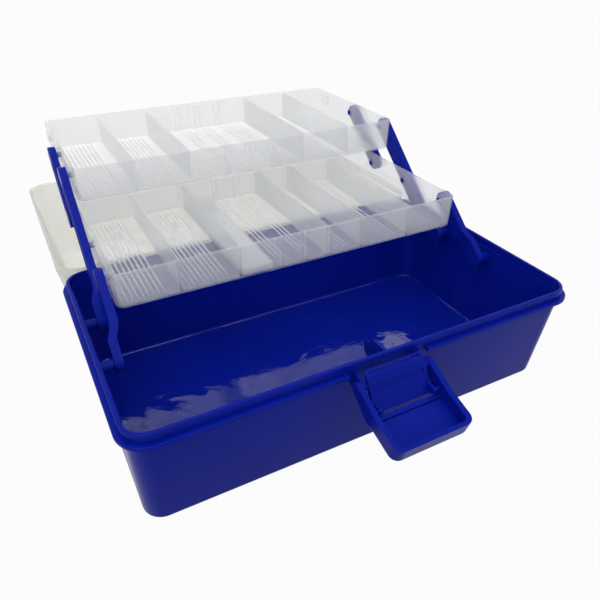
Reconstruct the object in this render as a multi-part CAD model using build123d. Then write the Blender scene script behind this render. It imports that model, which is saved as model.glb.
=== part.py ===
from build123d import *
import os
from math import atan2, cos, radians, sin

# Tackle box with two cantilever trays, open, in millimetres.
# X runs along the box, -Y is the front with the latch, +Z is up.
# The origin is the middle of the underside of the base.

# Base tub: lip, seating flange and drafted wall
LIP_LENGTH = 350.0
LIP_DEPTH = 203.0
LIP_WALL = 2.5
LIP_RADIUS = 17.0
LIP_STEP = 1.5
BASE_HEIGHT = 87.0
LIP_HEIGHT = 6.5
FLANGE_REACH = 3.5
FLANGE_THICK = 2.5
BASE_WALL = 2.5
BASE_FLOOR = 2.5
END_DRAFT = 3.5
SIDE_DRAFT = 8.5
BASE_BOTTOM_RADIUS = 14.0
BASE_EDGE_FILLET = 4.0
LIP_EDGE_FILLET = 0.8
WALL_ROOT = 1.25

# Tray rest: a notched rib inside the middle of the front wall
REST_THICK = 2.6
REST_REACH = 24.0
REST_NOTCH_AT = 17.0
REST_NOTCH_DEPTH = 7.8
REST_NOTCH_MOUTH = 2.5
REST_HOOK_WIDTH = 1.6
REST_HOOK_DROP = 4.7
REST_NOSE = 6.0
REST_DEPTH = 30.0
REST_GAP = 0.3

# Trays, two equal mouldings with five compartments
TRAY_END_ROOM = 24.5
TRAY_DEPTH = 150.0
TRAY_HEIGHT = 28.0
TRAY_DRAFT = 1.0
TRAY_RADIUS = 8.0
TRAY_WALL = 1.8
TRAY_FLOOR = 1.6
PARTITION = 1.5
OUTER_COMPARTMENT_SHARE = 0.1535
INNER_COMPARTMENT_SHARE = 0.1522
POCKET_RADIUS = 3.0
TRAY_EDGE_FILLET = 2.0
GUIDE_WIDTH = 7.6
GUIDE_DEPTH = 1.8
GUIDE_ROOT = 0.8
DIVIDER_THICK = 1.4
DIVIDER_PLAY = 0.3
DIVIDER_DROP = 1.2
DIVIDER_CORNER = 1.5
SPARE_ROOM = 1.5

# Arms, moulded with their pins
ARM_LENGTH = 62.5
ARM_SPACING = 55.0
ARM_WIDTH = 14.0
ARM_THICK = 6.0
ARM_RIM = 2.2
ARM_RECESS = 1.4
ARM_JOGGLE_FROM = 16.0
ARM_JOGGLE_TO = 27.0
ARM_JOGGLE = 4.4
CHANNEL_MARGIN = 1.0
ARM_OPEN_ANGLE = 41.0
ARM_CLOSED_ANGLE = 150.0
PIN_RADIUS = 2.5
PIN_BELOW_RIM = 10.3
PIN_ROOT = 0.5
PIN_END_GAP = 0.4
RUNNING_GAP = 0.06
LOOSE_GAP = 0.25
SIDE_GAP = 0.4
TRAY_BOSS_RADIUS = 5.0
TRAY_BOSS_HEIGHT = 0.9
BASE_BOSS_RADIUS = 4.4
REAR_PIVOT_Y = 41.7
PIVOT_BELOW_FLANGE = 7.6

# Lid, modelled closed and then laid open
LID_OVERHANG = 2.8
LID_WALL = 2.2
LID_TOP = 2.5
LID_BAND = 7.5
LID_DRAFT = 13.0
LID_RIM_RADIUS = 19.0
LID_TOP_RADIUS = 19.0
LID_EDGE_FILLET = 9.0
LID_RIM_CHAMFER = 1.0
LID_OPEN_ANGLE = 180.0

# Hinge
HINGE_BACK_GAP = 0.3
HINGE_RISE = 2.0
HINGE_AT = 100.0
KNUCKLE_RADIUS = 3.0
KNUCKLE_WIDTH = 10.0
LID_KNUCKLE_WIDTH = 20.0
KNUCKLE_GAP = 0.3
HINGE_PIN_RADIUS = 1.25

# Folding handle in the lid top
HANDLE_LENGTH = 108.0
HANDLE_REACH = 24.0
HANDLE_BAR = 9.0
HANDLE_THICK = 6.0
HANDLE_CENTRE_Y = -10.0
HANDLE_GAP = 0.5
HANDLE_PIN_RADIUS = 2.0
HANDLE_PIN_LENGTH = 2.0
RECESS_MARGIN = 6.0
RECESS_RADIUS = 2.5

# Latch lever on its base lugs
LATCH_PIVOT_OUT = 10.0
LATCH_BELOW_FLANGE = 6.9
LEVER_REST_ANGLE = -164.0
LEVER_LENGTH = 50.5
LEVER_HALF_WIDTH = 30.5
LEVER_ARM = 4.0
LEVER_EYE = 4.2
LEVER_FLARE = 27.0
PAN_START = 19.6
PAN_DEPTH = 12.5
PAN_WALL = 3.2
PAN_FLOOR = 2.2
PAN_RADIUS = 6.5
PAN_REAR_HEIGHT = 4.0
PAN_EDGE_FILLET = 2.0
LUG_THICK = 2.7
LUG_RADIUS = 3.8
LUG_TOP_BELOW_FLANGE = 0.6
LUG_FOOT_BELOW_FLANGE = 15.5
LUG_GAP = 0.3
STUB_RADIUS = 1.5
FLANGE_GAP_HALF = 31.5

# Draw clasp, hinged in the lever
CLASP_PIVOT_U = 18.0
CLASP_PIVOT_N = -5.0
CLASP_REST_ANGLE = 60.5
CLASP_HALF_WIDTH = 23.0
CLASP_POST = 2.5
CLASP_FACE = -4.3
CLASP_PLATE = 2.6
PLATE_FOOT = -2.5
PLATE_TOP = 12.7
BAR_FOOT = 18.5
SKIRT_FOOT = 16.0
SKIRT_THICK = 2.0
HINGE_BOSS = 2.6
HINGE_BOSS_RISE = 5.0
BAR_FRONT_TOP = 22.2
BAR_TOP = 26.6
BAR_BACK = -7.3
HOOK_TIP = -9.3
HOOK_HEIGHT = 2.0
HOOK_TAPER = 0.8
HOOK_LEAN = 0.9
HOOK_SIDE_GAP = 0.5
SLOT_WIDTH = 2.2
SLOT_DEPTH = 1.2
GROOVE_DEPTH = 0.8
GROOVE_WEB = 0.9

# Catch tongue on the lid rim
TONGUE_HALF_WIDTH = 19.5
TONGUE_DROP = 8.2
WINDOW_FOOT_DROP = 5.0
WINDOW_TOP_DROP = 1.3
TONGUE_FRAME = 3.0

# Derived places
FLANGE_TOP = BASE_HEIGHT - LIP_HEIGHT
FLANGE_FOOT = FLANGE_TOP - FLANGE_THICK
LID_RIM = FLANGE_TOP
LID_LENGTH = LIP_LENGTH + 2 * LID_OVERHANG
LID_DEPTH = LIP_DEPTH + 2 * LID_OVERHANG
HINGE_Z = FLANGE_TOP + HINGE_RISE
LID_CLOSED_TOP = 2 * HINGE_Z
HINGE_Y = LID_DEPTH / 2 + HINGE_BACK_GAP + KNUCKLE_RADIUS
PIVOT_Z = FLANGE_TOP - PIVOT_BELOW_FLANGE
TRAY_LENGTH = LIP_LENGTH - 2 * TRAY_END_ROOM
FRONT_PIVOT_Y = REAR_PIVOT_Y - ARM_SPACING
ARM_INNER_X = TRAY_LENGTH / 2 + TRAY_BOSS_HEIGHT + SIDE_GAP
ARM_OUTER_X = ARM_INNER_X + ARM_THICK
ARM_DIRECTION = Vector(0, cos(radians(ARM_OPEN_ANGLE)), sin(radians(ARM_OPEN_ANGLE)))
BASE_REAR_PIVOT = Vector(0, REAR_PIVOT_Y, PIVOT_Z)
BASE_FRONT_PIVOT = Vector(0, FRONT_PIVOT_Y, PIVOT_Z)
LOWER_TRAY_PIVOT = BASE_REAR_PIVOT + ARM_DIRECTION * ARM_LENGTH
UPPER_TRAY_PIVOT = LOWER_TRAY_PIVOT + Vector(0, ARM_SPACING, 0) + ARM_DIRECTION * ARM_LENGTH
LATCH_PIVOT_Y = -(LIP_DEPTH / 2 - LIP_STEP + LATCH_PIVOT_OUT)
LATCH_PIVOT_Z = FLANGE_TOP - LATCH_BELOW_FLANGE
LUG_TOP = FLANGE_TOP - LUG_TOP_BELOW_FLANGE
LUG_FOOT = FLANGE_TOP - LUG_FOOT_BELOW_FLANGE


def rounded(length, depth, radius, z):
    return Pos(0, 0, z) * RectangleRounded(length, depth, radius)


def tub(foot, top):
    return loft([rounded(*foot), rounded(*top)], ruled=True)


def prism(points, x_from, x_to):
    outline = Plane.YZ.offset(x_from) * Polygon(*points, align=None)
    return extrude(outline, amount=x_to - x_from, dir=(1, 0, 0))


def rod(y, z, radius, x_from, x_to):
    outline = Plane.YZ.offset(x_from) * Pos(y, z) * Circle(radius)
    return extrude(outline, amount=x_to - x_from, dir=(1, 0, 0))


def mirrored(shape):
    return mirror(shape, about=Plane.YZ)


def both_sides(shape):
    return shape + mirrored(shape)


def wall_half(base_size, draft, z):
    """Half size of the outside of the base wall at height z."""
    return base_size / 2 - LIP_STEP - draft * (FLANGE_FOOT - z) / FLANGE_FOOT


def end_wall_x(z):
    return wall_half(LIP_LENGTH, END_DRAFT, z)


def side_wall_y(z):
    return wall_half(LIP_DEPTH, SIDE_DRAFT, z)


def base_shell():
    foot_size = (2 * end_wall_x(0), 2 * side_wall_y(0), BASE_BOTTOM_RADIUS, 0)
    head_length = 2 * end_wall_x(FLANGE_FOOT)
    head_depth = 2 * side_wall_y(FLANGE_FOOT)
    outside = tub(foot_size, (head_length, head_depth, LIP_RADIUS - LIP_STEP, FLANGE_FOOT))
    outside = fillet(outside.faces().sort_by(Axis.Z)[0].edges(), BASE_EDGE_FILLET)
    collar_face = rounded(LIP_LENGTH, LIP_DEPTH, LIP_RADIUS, FLANGE_FOOT)
    collar = extrude(collar_face, BASE_HEIGHT - FLANGE_FOOT)
    collar = fillet(collar.faces().sort_by(Axis.Z)[-1].edges(), LIP_EDGE_FILLET)
    flange_length = LIP_LENGTH + 2 * FLANGE_REACH
    flange_depth = LIP_DEPTH + 2 * FLANGE_REACH
    flange_face = rounded(flange_length, flange_depth, LIP_RADIUS + FLANGE_REACH, FLANGE_FOOT)
    flange = extrude(flange_face, FLANGE_THICK)
    flange = fillet(flange.faces().sort_by(Axis.Z)[-1].edges(), LIP_EDGE_FILLET)
    gap_depth = FLANGE_REACH + LIP_STEP
    gap = Box(2 * FLANGE_GAP_HALF, gap_depth, 4 * FLANGE_THICK)
    gap = Pos(0, -LIP_DEPTH / 2 - gap_depth / 2, FLANGE_TOP) * gap
    floor_size = (
        2 * (end_wall_x(BASE_FLOOR) - BASE_WALL),
        2 * (side_wall_y(BASE_FLOOR) - BASE_WALL),
        BASE_BOTTOM_RADIUS - BASE_WALL,
        BASE_FLOOR,
    )
    mouth_size = (
        2 * (end_wall_x(FLANGE_FOOT) - BASE_WALL),
        2 * (side_wall_y(FLANGE_FOOT) - BASE_WALL),
        LIP_RADIUS - LIP_STEP - BASE_WALL,
        FLANGE_FOOT,
    )
    cavity = tub(floor_size, mouth_size)
    cavity = fillet(cavity.faces().sort_by(Axis.Z)[0].edges(), BASE_EDGE_FILLET - BASE_WALL / 2)
    mouth = extrude(rounded(*mouth_size), FLANGE_THICK)
    lip_inside_length = LIP_LENGTH - 2 * LIP_WALL
    lip_inside_depth = LIP_DEPTH - 2 * LIP_WALL
    lip_face = rounded(lip_inside_length, lip_inside_depth, LIP_RADIUS - LIP_WALL, FLANGE_TOP)
    lip_mouth = extrude(lip_face, LIP_HEIGHT)
    return outside + collar + (flange - gap) - cavity - mouth - lip_mouth


def base_pivot_boss(pivot, side):
    """Boss between the end wall and the outer face of an arm, bored for the arm's pin."""
    boss_x = ARM_OUTER_X + ARM_JOGGLE + SIDE_GAP
    wall_x = end_wall_x(PIVOT_Z) - WALL_ROOT
    boss = rod(pivot.Y, pivot.Z, BASE_BOSS_RADIUS, boss_x, wall_x)
    return boss if side > 0 else mirrored(boss)


def base_pivot_bore(pivot, gap, side):
    bore_end = end_wall_x(PIVOT_Z) - WALL_ROOT - RUNNING_GAP
    bore = rod(pivot.Y, pivot.Z, PIN_RADIUS + gap, ARM_OUTER_X, bore_end)
    return bore if side > 0 else mirrored(bore)


def tray_rest():
    inside_y = -(LIP_DEPTH / 2 - LIP_WALL)
    top = lower_tray_closed_foot() - REST_GAP
    head_y = -side_wall_y(top) + WALL_ROOT
    foot_y = -side_wall_y(top - REST_DEPTH) + WALL_ROOT
    notch_y = inside_y + REST_NOTCH_AT
    nose_y = inside_y + REST_REACH
    outline = [
        (head_y, top),
        (notch_y - REST_NOTCH_MOUTH, top),
        (notch_y, top - REST_NOTCH_DEPTH),
        (notch_y + REST_HOOK_WIDTH, top - REST_HOOK_DROP),
        (nose_y, top - REST_NOTCH_DEPTH),
        (nose_y, top - REST_NOTCH_DEPTH - REST_NOSE),
        (foot_y, top - REST_DEPTH),
    ]
    return prism(outline, -REST_THICK / 2, REST_THICK / 2)


def lower_tray_closed_foot():
    closed_pin_z = PIVOT_Z + ARM_LENGTH * sin(radians(ARM_CLOSED_ANGLE))
    return closed_pin_z + PIN_BELOW_RIM - TRAY_HEIGHT


def latch_lug(side):
    inner_x = LEVER_HALF_WIDTH - LEVER_ARM - LUG_GAP - LUG_THICK
    outline = [
        (-side_wall_y(LUG_TOP) + WALL_ROOT, LUG_TOP),
        (LATCH_PIVOT_Y, LATCH_PIVOT_Z + LUG_RADIUS),
        (LATCH_PIVOT_Y - LUG_RADIUS / 2, LATCH_PIVOT_Z - LUG_RADIUS * sin(radians(60))),
        (-side_wall_y(LUG_FOOT) + WALL_ROOT, LUG_FOOT),
    ]
    lug = prism(outline, inner_x, inner_x + LUG_THICK)
    lug += rod(LATCH_PIVOT_Y, LATCH_PIVOT_Z, LUG_RADIUS, inner_x, inner_x + LUG_THICK)
    lug -= rod(LATCH_PIVOT_Y, LATCH_PIVOT_Z, STUB_RADIUS + RUNNING_GAP, inner_x, inner_x + LUG_THICK)
    return lug if side > 0 else mirrored(lug)


def base_knuckles(centre_x):
    lid_half = LID_KNUCKLE_WIDTH / 2
    spans = (
        (centre_x - lid_half - KNUCKLE_GAP - KNUCKLE_WIDTH, centre_x - lid_half - KNUCKLE_GAP),
        (centre_x + lid_half + KNUCKLE_GAP, centre_x + lid_half + KNUCKLE_GAP + KNUCKLE_WIDTH),
    )
    knuckles = Part()
    flange_edge = LIP_DEPTH / 2 + FLANGE_REACH
    for x_from, x_to in spans:
        web = [
            (flange_edge - WALL_ROOT, FLANGE_FOOT),
            (HINGE_Y, FLANGE_FOOT),
            (HINGE_Y + KNUCKLE_RADIUS, HINGE_Z),
            (HINGE_Y, HINGE_Z),
            (flange_edge, FLANGE_TOP),
            (flange_edge - WALL_ROOT, FLANGE_TOP),
        ]
        knuckles += prism(web, x_from, x_to)
        knuckles += rod(HINGE_Y, HINGE_Z, KNUCKLE_RADIUS, x_from, x_to)
    span_from = spans[0][0]
    span_to = spans[1][1]
    return knuckles - rod(HINGE_Y, HINGE_Z, HINGE_PIN_RADIUS, span_from, span_to)


def make_base():
    base = base_shell()
    base += tray_rest()
    for side in (-1, 1):
        base += base_pivot_boss(BASE_REAR_PIVOT, side)
        base += base_pivot_boss(BASE_FRONT_PIVOT, side)
        base += latch_lug(side)
        base += base_knuckles(side * HINGE_AT)
    for side in (-1, 1):
        base -= base_pivot_bore(BASE_REAR_PIVOT, RUNNING_GAP, side)
        base -= base_pivot_bore(BASE_FRONT_PIVOT, RUNNING_GAP, side)
    return base


def hinge_pin(centre_x):
    half = LID_KNUCKLE_WIDTH / 2 + KNUCKLE_GAP + KNUCKLE_WIDTH
    return rod(HINGE_Y, HINGE_Z, HINGE_PIN_RADIUS, centre_x - half, centre_x + half)


def recess_length():
    return HANDLE_LENGTH + 2 * HANDLE_GAP


def recess_depth_y():
    return HANDLE_REACH + HANDLE_BAR + 2 * HANDLE_GAP + RECESS_MARGIN


def lid_size(z, inset):
    """Length, depth, corner radius and height of the lid's section at z, set in by a wall."""
    rise = max(0.0, z - LID_RIM - LID_BAND) / (LID_CLOSED_TOP - LID_RIM - LID_BAND)
    draft = LID_DRAFT * rise
    radius = LID_RIM_RADIUS + (LID_TOP_RADIUS - LID_RIM_RADIUS) * rise
    return (LID_LENGTH - 2 * (draft + inset), LID_DEPTH - 2 * (draft + inset), radius - inset, z)


def lid_shell():
    band_top = LID_RIM + LID_BAND
    roof = LID_CLOSED_TOP - LID_TOP
    outside = tub(lid_size(band_top, 0), lid_size(LID_CLOSED_TOP, 0))
    outside = fillet(outside.faces().sort_by(Axis.Z)[-1].edges(), LID_EDGE_FILLET)
    outside += extrude(rounded(*lid_size(LID_RIM, 0)), LID_BAND)
    cavity = tub(lid_size(band_top, LID_WALL), lid_size(roof, LID_WALL))
    cavity = fillet(cavity.faces().sort_by(Axis.Z)[-1].edges(), LID_EDGE_FILLET - LID_WALL)
    cavity += extrude(rounded(*lid_size(LID_RIM, LID_WALL)), LID_BAND)
    chamfer_foot = lid_size(LID_RIM, LID_WALL - LID_RIM_CHAMFER)
    chamfer_head = (*lid_size(LID_RIM, LID_WALL)[:3], LID_RIM + LID_RIM_CHAMFER)
    return outside - cavity - tub(chamfer_foot, chamfer_head)


def handle_recess():
    """Outside of the moulded pocket that holds the folded handle, and the pocket itself."""
    depth = HANDLE_THICK + 2 * HANDLE_GAP
    pocket_face = Pos(0, HANDLE_CENTRE_Y, LID_CLOSED_TOP - depth) * RectangleRounded(
        recess_length(), recess_depth_y(), RECESS_RADIUS
    )
    pocket = extrude(pocket_face, depth)
    case_face = Pos(0, HANDLE_CENTRE_Y, LID_CLOSED_TOP - depth - LID_TOP) * RectangleRounded(
        recess_length() + 2 * LID_TOP, recess_depth_y() + 2 * LID_TOP, RECESS_RADIUS + LID_TOP
    )
    case = extrude(case_face, depth + LID_TOP / 2)
    return case, pocket


def handle_pivot():
    y = HANDLE_CENTRE_Y + recess_depth_y() / 2 - HANDLE_GAP - HANDLE_BAR / 2
    z = LID_CLOSED_TOP - HANDLE_GAP - HANDLE_THICK / 2
    return y, z


def lid_knuckle(centre_x):
    half = LID_KNUCKLE_WIDTH / 2
    web = [
        (LID_DEPTH / 2 - LID_WALL / 2, LID_RIM + KNUCKLE_GAP),
        (HINGE_Y, LID_RIM + KNUCKLE_GAP),
        (HINGE_Y, HINGE_Z + KNUCKLE_RADIUS),
        (LID_DEPTH / 2 - LID_WALL, HINGE_Z + 2 * KNUCKLE_RADIUS),
    ]
    return prism(web, centre_x - half, centre_x + half) + rod(
        HINGE_Y, HINGE_Z, KNUCKLE_RADIUS, centre_x - half, centre_x + half
    )


def catch_tongue():
    middle_y = -LID_DEPTH / 2 + LID_WALL / 2
    foot = LID_RIM - TONGUE_DROP
    top = LID_RIM + LID_RIM_CHAMFER + LID_WALL / 2
    tongue = Pos(0, middle_y, (foot + top) / 2) * Box(2 * TONGUE_HALF_WIDTH, LID_WALL, top - foot)
    window_foot = LID_RIM - WINDOW_FOOT_DROP
    window_top = LID_RIM - WINDOW_TOP_DROP
    window = Box(2 * (TONGUE_HALF_WIDTH - TONGUE_FRAME), 2 * LID_WALL, window_top - window_foot)
    return tongue - Pos(0, middle_y, (window_foot + window_top) / 2) * window


def make_lid_closed():
    case, pocket = handle_recess()
    lid = lid_shell() + case - pocket
    pivot_y, pivot_z = handle_pivot()
    pin_reach = recess_length() / 2 + HANDLE_PIN_LENGTH
    lid -= rod(pivot_y, pivot_z, HANDLE_PIN_RADIUS + RUNNING_GAP, -pin_reach, pin_reach)
    lid += catch_tongue()
    for side in (-1, 1):
        lid += lid_knuckle(side * HINGE_AT)
    for side in (-1, 1):
        reach = LID_KNUCKLE_WIDTH / 2
        lid -= rod(
            HINGE_Y, HINGE_Z, HINGE_PIN_RADIUS + RUNNING_GAP, side * HINGE_AT - reach, side * HINGE_AT + reach
        )
    return lid


def laid_open(shape):
    """Swing a closed-lid shape about the hinge to its open place behind the box."""
    axis = Axis((0, HINGE_Y, HINGE_Z), (1, 0, 0))
    return shape.rotate(axis, -LID_OPEN_ANGLE)


def make_handle_closed():
    pivot_y, pivot_z = handle_pivot()
    half = HANDLE_LENGTH / 2
    grip_y = pivot_y - HANDLE_REACH
    foot = pivot_z - HANDLE_THICK / 2
    tail_y = grip_y - HANDLE_BAR / 2
    blank = Pos(0, (pivot_y + tail_y) / 2, foot) * Rectangle(HANDLE_LENGTH, pivot_y - tail_y)
    blank = fillet(blank.vertices().sort_by(Axis.Y)[:2], HANDLE_BAR)
    window_tail = grip_y + HANDLE_BAR / 2
    window = Pos(0, (pivot_y + window_tail) / 2, foot) * Rectangle(
        HANDLE_LENGTH - 2 * HANDLE_BAR, pivot_y - window_tail
    )
    window = fillet(window.vertices().sort_by(Axis.Y)[:2], HANDLE_BAR / 3)
    bail = extrude(blank - window, HANDLE_THICK)
    ends = rod(pivot_y, pivot_z, HANDLE_THICK / 2, half - HANDLE_BAR, half)
    stub_to = recess_length() / 2 + HANDLE_PIN_LENGTH - HANDLE_GAP / 2
    ends += rod(pivot_y, pivot_z, HANDLE_PIN_RADIUS, half - HANDLE_PIN_LENGTH, stub_to)
    return bail + both_sides(ends)


def partition_places():
    inside_half = TRAY_LENGTH / 2 - TRAY_WALL
    outer = inside_half - OUTER_COMPARTMENT_SHARE * TRAY_LENGTH - PARTITION / 2
    inner = outer - INNER_COMPARTMENT_SHARE * TRAY_LENGTH - PARTITION
    return outer, inner


def guide_spacing():
    """Distance between the slots, which leaves room for a loose divider beside the outer guides."""
    middle_half = partition_places()[1] - PARTITION / 2
    return middle_half - divider_height() - 2 * SPARE_ROOM - GUIDE_WIDTH / 2


def divider_height():
    return TRAY_HEIGHT - TRAY_FLOOR - DIVIDER_PLAY - DIVIDER_DROP


def pocket_spans():
    outer, inner = partition_places()
    half_wall = PARTITION / 2
    inside_half = TRAY_LENGTH / 2 - TRAY_WALL - TRAY_DRAFT
    edges = (-inside_half, -outer, -inner, inner, outer, inside_half)
    spans = []
    for left, right in zip(edges[:-1], edges[1:]):
        from_x = left if left == -inside_half else left + half_wall
        to_x = right if right == inside_half else right - half_wall
        spans.append((from_x, to_x))
    return spans


def divider_guides(foot_z, rim_z):
    """Slotted guides on the front and rear walls of the middle compartment."""
    wall_y = TRAY_DEPTH / 2 - TRAY_WALL - TRAY_DRAFT
    slot = DIVIDER_THICK + 2 * DIVIDER_PLAY
    rib = (GUIDE_WIDTH - slot) / 2
    height = rim_z - foot_z
    guides = Part()
    for index in (-1, 0, 1):
        for side in (-1, 1):
            for offset in (-1, 1):
                x = index * guide_spacing() + offset * (slot + rib) / 2
                y = side * (wall_y - (GUIDE_DEPTH - GUIDE_ROOT) / 2)
                guides += Pos(x, y, foot_z + height / 2) * Box(rib, GUIDE_DEPTH + GUIDE_ROOT, height)
    return guides


def tray_body():
    """A tray about its own middle, with its rim at z = 0."""
    foot = (
        TRAY_LENGTH - 2 * TRAY_DRAFT,
        TRAY_DEPTH - 2 * TRAY_DRAFT,
        TRAY_RADIUS - TRAY_DRAFT,
        -TRAY_HEIGHT,
    )
    rim = (TRAY_LENGTH, TRAY_DEPTH, TRAY_RADIUS, 0)
    body = tub(foot, rim)
    body = fillet(body.faces().sort_by(Axis.Z)[0].edges(), TRAY_EDGE_FILLET)
    pocket_depth = TRAY_HEIGHT - TRAY_FLOOR
    inside_depth = TRAY_DEPTH - 2 * TRAY_WALL - 2 * TRAY_DRAFT
    for from_x, to_x in pocket_spans():
        face = Pos((from_x + to_x) / 2, 0, -pocket_depth) * RectangleRounded(
            to_x - from_x, inside_depth, POCKET_RADIUS
        )
        body -= extrude(face, pocket_depth)
    return body + divider_guides(-pocket_depth, -DIVIDER_DROP)


def tray_bosses():
    from_x = TRAY_LENGTH / 2 - TRAY_DRAFT
    to_x = TRAY_LENGTH / 2 + TRAY_BOSS_HEIGHT
    bosses = Part()
    for place in (-1, 0, 1):
        bosses += rod(place * ARM_SPACING, -PIN_BELOW_RIM, TRAY_BOSS_RADIUS, from_x, to_x)
    return both_sides(bosses)


def tray_bore(place, gap):
    far_x = TRAY_LENGTH / 2 + TRAY_BOSS_HEIGHT
    near_x = TRAY_LENGTH / 2 - 3 * TRAY_WALL
    return both_sides(rod(place * ARM_SPACING, -PIN_BELOW_RIM, PIN_RADIUS + gap, near_x, far_x))


def make_tray(centre, loose_place):
    tray = tray_body() + tray_bosses()
    for place in (-1, 0, 1):
        gap = LOOSE_GAP if place == loose_place else RUNNING_GAP
        tray -= tray_bore(place, gap)
    return Pos(0, centre.Y, centre.Z + PIN_BELOW_RIM) * tray


def divider():
    """A removable divider standing in the middle of a tray, with the tray's rim at z = 0."""
    length = TRAY_DEPTH - 2 * TRAY_WALL - 2 * TRAY_DRAFT - 2 * DIVIDER_PLAY
    plate = Box(DIVIDER_THICK, length, divider_height())
    plate = fillet(plate.edges().filter_by(Axis.X), DIVIDER_CORNER)
    return Pos(0, 0, -DIVIDER_DROP - divider_height() / 2) * plate


def place_in_lower_tray(shape):
    return Pos(0, LOWER_TRAY_PIVOT.Y, LOWER_TRAY_PIVOT.Z + PIN_BELOW_RIM) * shape


def make_fitted_divider():
    return place_in_lower_tray(Pos(guide_spacing(), 0, 0) * divider())


def make_spare_divider(index):
    """A divider lying flat on the tray floor, on top of the ones before it."""
    flat = Pos(0, 0, DIVIDER_DROP + divider_height() / 2) * divider()
    flat = Rot(0, 90, 0) * flat
    floor_z = -TRAY_HEIGHT + TRAY_FLOOR
    lift = DIVIDER_THICK / 2 + DIVIDER_PLAY + index * (DIVIDER_THICK + DIVIDER_PLAY)
    middle = -(guide_spacing() + GUIDE_WIDTH / 2 + SPARE_ROOM + divider_height() / 2)
    side_step = middle + (index - 1) * DIVIDER_PLAY
    return place_in_lower_tray(Pos(side_step, 0, floor_z + lift) * flat)


def arm_run(start, end, x_from, x_to):
    """One straight run of an arm with round ends."""
    across = Vector(0, -(end.Z - start.Z), end.Y - start.Y).normalized() * (ARM_WIDTH / 2)
    corners = (start + across, end + across, end - across, start - across)
    run = prism([(corner.Y, corner.Z) for corner in corners], x_from, x_to)
    run += rod(start.Y, start.Z, ARM_WIDTH / 2, x_from, x_to)
    return run + rod(end.Y, end.Z, ARM_WIDTH / 2, x_from, x_to)


def arm_channel(start, end, x_from, x_to):
    """Shallow channel between two pivots, inside the raised rim of the arm."""
    along = (end - start).normalized()
    near = start + along * (ARM_WIDTH / 2 + CHANNEL_MARGIN)
    far = end - along * (ARM_WIDTH / 2 + CHANNEL_MARGIN)
    across = Vector(0, -along.Z, along.Y) * (ARM_WIDTH / 2 - ARM_RIM)
    corners = (near + across, far + across, far - across, near - across)
    return prism([(corner.Y, corner.Z) for corner in corners], x_from, x_to)


def upper_link(start, end):
    return arm_run(start, end, ARM_INNER_X, ARM_OUTER_X)


def tray_pin(pivot):
    pin_end = TRAY_LENGTH / 2 - TRAY_DRAFT - TRAY_WALL - PIN_END_GAP
    return rod(pivot.Y, pivot.Z, PIN_RADIUS, pin_end, ARM_INNER_X + PIN_ROOT)


def base_pin(pivot):
    from_x = ARM_OUTER_X + ARM_JOGGLE - PIN_ROOT
    to_x = end_wall_x(PIVOT_Z) - WALL_ROOT - PIN_END_GAP
    return rod(pivot.Y, pivot.Z, PIN_RADIUS, from_x, to_x)


def joggled_link(base_pivot, end):
    """Arm from a base pivot: its lower run lies further out, beside the base wall."""
    along = (end - base_pivot).normalized()
    across = Vector(0, -along.Z, along.Y) * (ARM_WIDTH / 2)
    bend_from = base_pivot + along * ARM_JOGGLE_FROM
    bend_to = base_pivot + along * ARM_JOGGLE_TO
    low_in = ARM_INNER_X + ARM_JOGGLE
    low_out = ARM_OUTER_X + ARM_JOGGLE
    lower = arm_bar(base_pivot, bend_from, across, low_in, low_out)
    lower += rod(base_pivot.Y, base_pivot.Z, ARM_WIDTH / 2, low_in, low_out)
    upper = arm_bar(bend_to, end, across, ARM_INNER_X, ARM_OUTER_X)
    upper += rod(end.Y, end.Z, ARM_WIDTH / 2, ARM_INNER_X, ARM_OUTER_X)
    low_face = arm_section(bend_from, across, low_in, low_out)
    high_face = arm_section(bend_to, across, ARM_INNER_X, ARM_OUTER_X)
    bend = loft([low_face, high_face], ruled=True)
    channel_start = bend_to - along * (ARM_WIDTH / 2 - CHANNEL_MARGIN)
    channel = arm_channel(channel_start, end, ARM_OUTER_X - ARM_RECESS, ARM_OUTER_X + ARM_RECESS)
    return lower + bend + upper - channel


def arm_bar(start, end, across, x_from, x_to):
    corners = (start + across, end + across, end - across, start - across)
    return prism([(corner.Y, corner.Z) for corner in corners], x_from, x_to)


def arm_section(centre, across, x_from, x_to):
    inside = Vector(x_from, 0, 0)
    outside = Vector(x_to, 0, 0)
    head = centre + across
    foot = centre - across
    corners = (head + inside, head + outside, foot + outside, foot + inside)
    return Face(Wire.make_polygon(corners, close=True))


def make_long_arm():
    end = BASE_REAR_PIVOT + ARM_DIRECTION * (2 * ARM_LENGTH)
    arm = joggled_link(BASE_REAR_PIVOT, end)
    arm += base_pin(BASE_REAR_PIVOT)
    arm += tray_pin(LOWER_TRAY_PIVOT)
    return arm + tray_pin(end)


def make_front_arm():
    end = BASE_FRONT_PIVOT + ARM_DIRECTION * ARM_LENGTH
    arm = joggled_link(BASE_FRONT_PIVOT, end)
    return arm + base_pin(BASE_FRONT_PIVOT) + tray_pin(end)


def make_rear_arm():
    start = LOWER_TRAY_PIVOT + Vector(0, ARM_SPACING, 0)
    arm = upper_link(start, UPPER_TRAY_PIVOT)
    arm -= arm_channel(start, UPPER_TRAY_PIVOT, ARM_OUTER_X - ARM_RECESS, ARM_OUTER_X + ARM_RECESS)
    return arm + tray_pin(start) + tray_pin(UPPER_TRAY_PIVOT)


def lever_plane():
    """Plane of the lever at rest: local x is +X, local y points back along the lever, z is out of the pan."""
    angle = radians(LEVER_REST_ANGLE)
    pan_normal = (0, sin(angle), -cos(angle))
    return Plane(origin=(0, LATCH_PIVOT_Y, LATCH_PIVOT_Z), x_dir=(1, 0, 0), z_dir=pan_normal)


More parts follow.
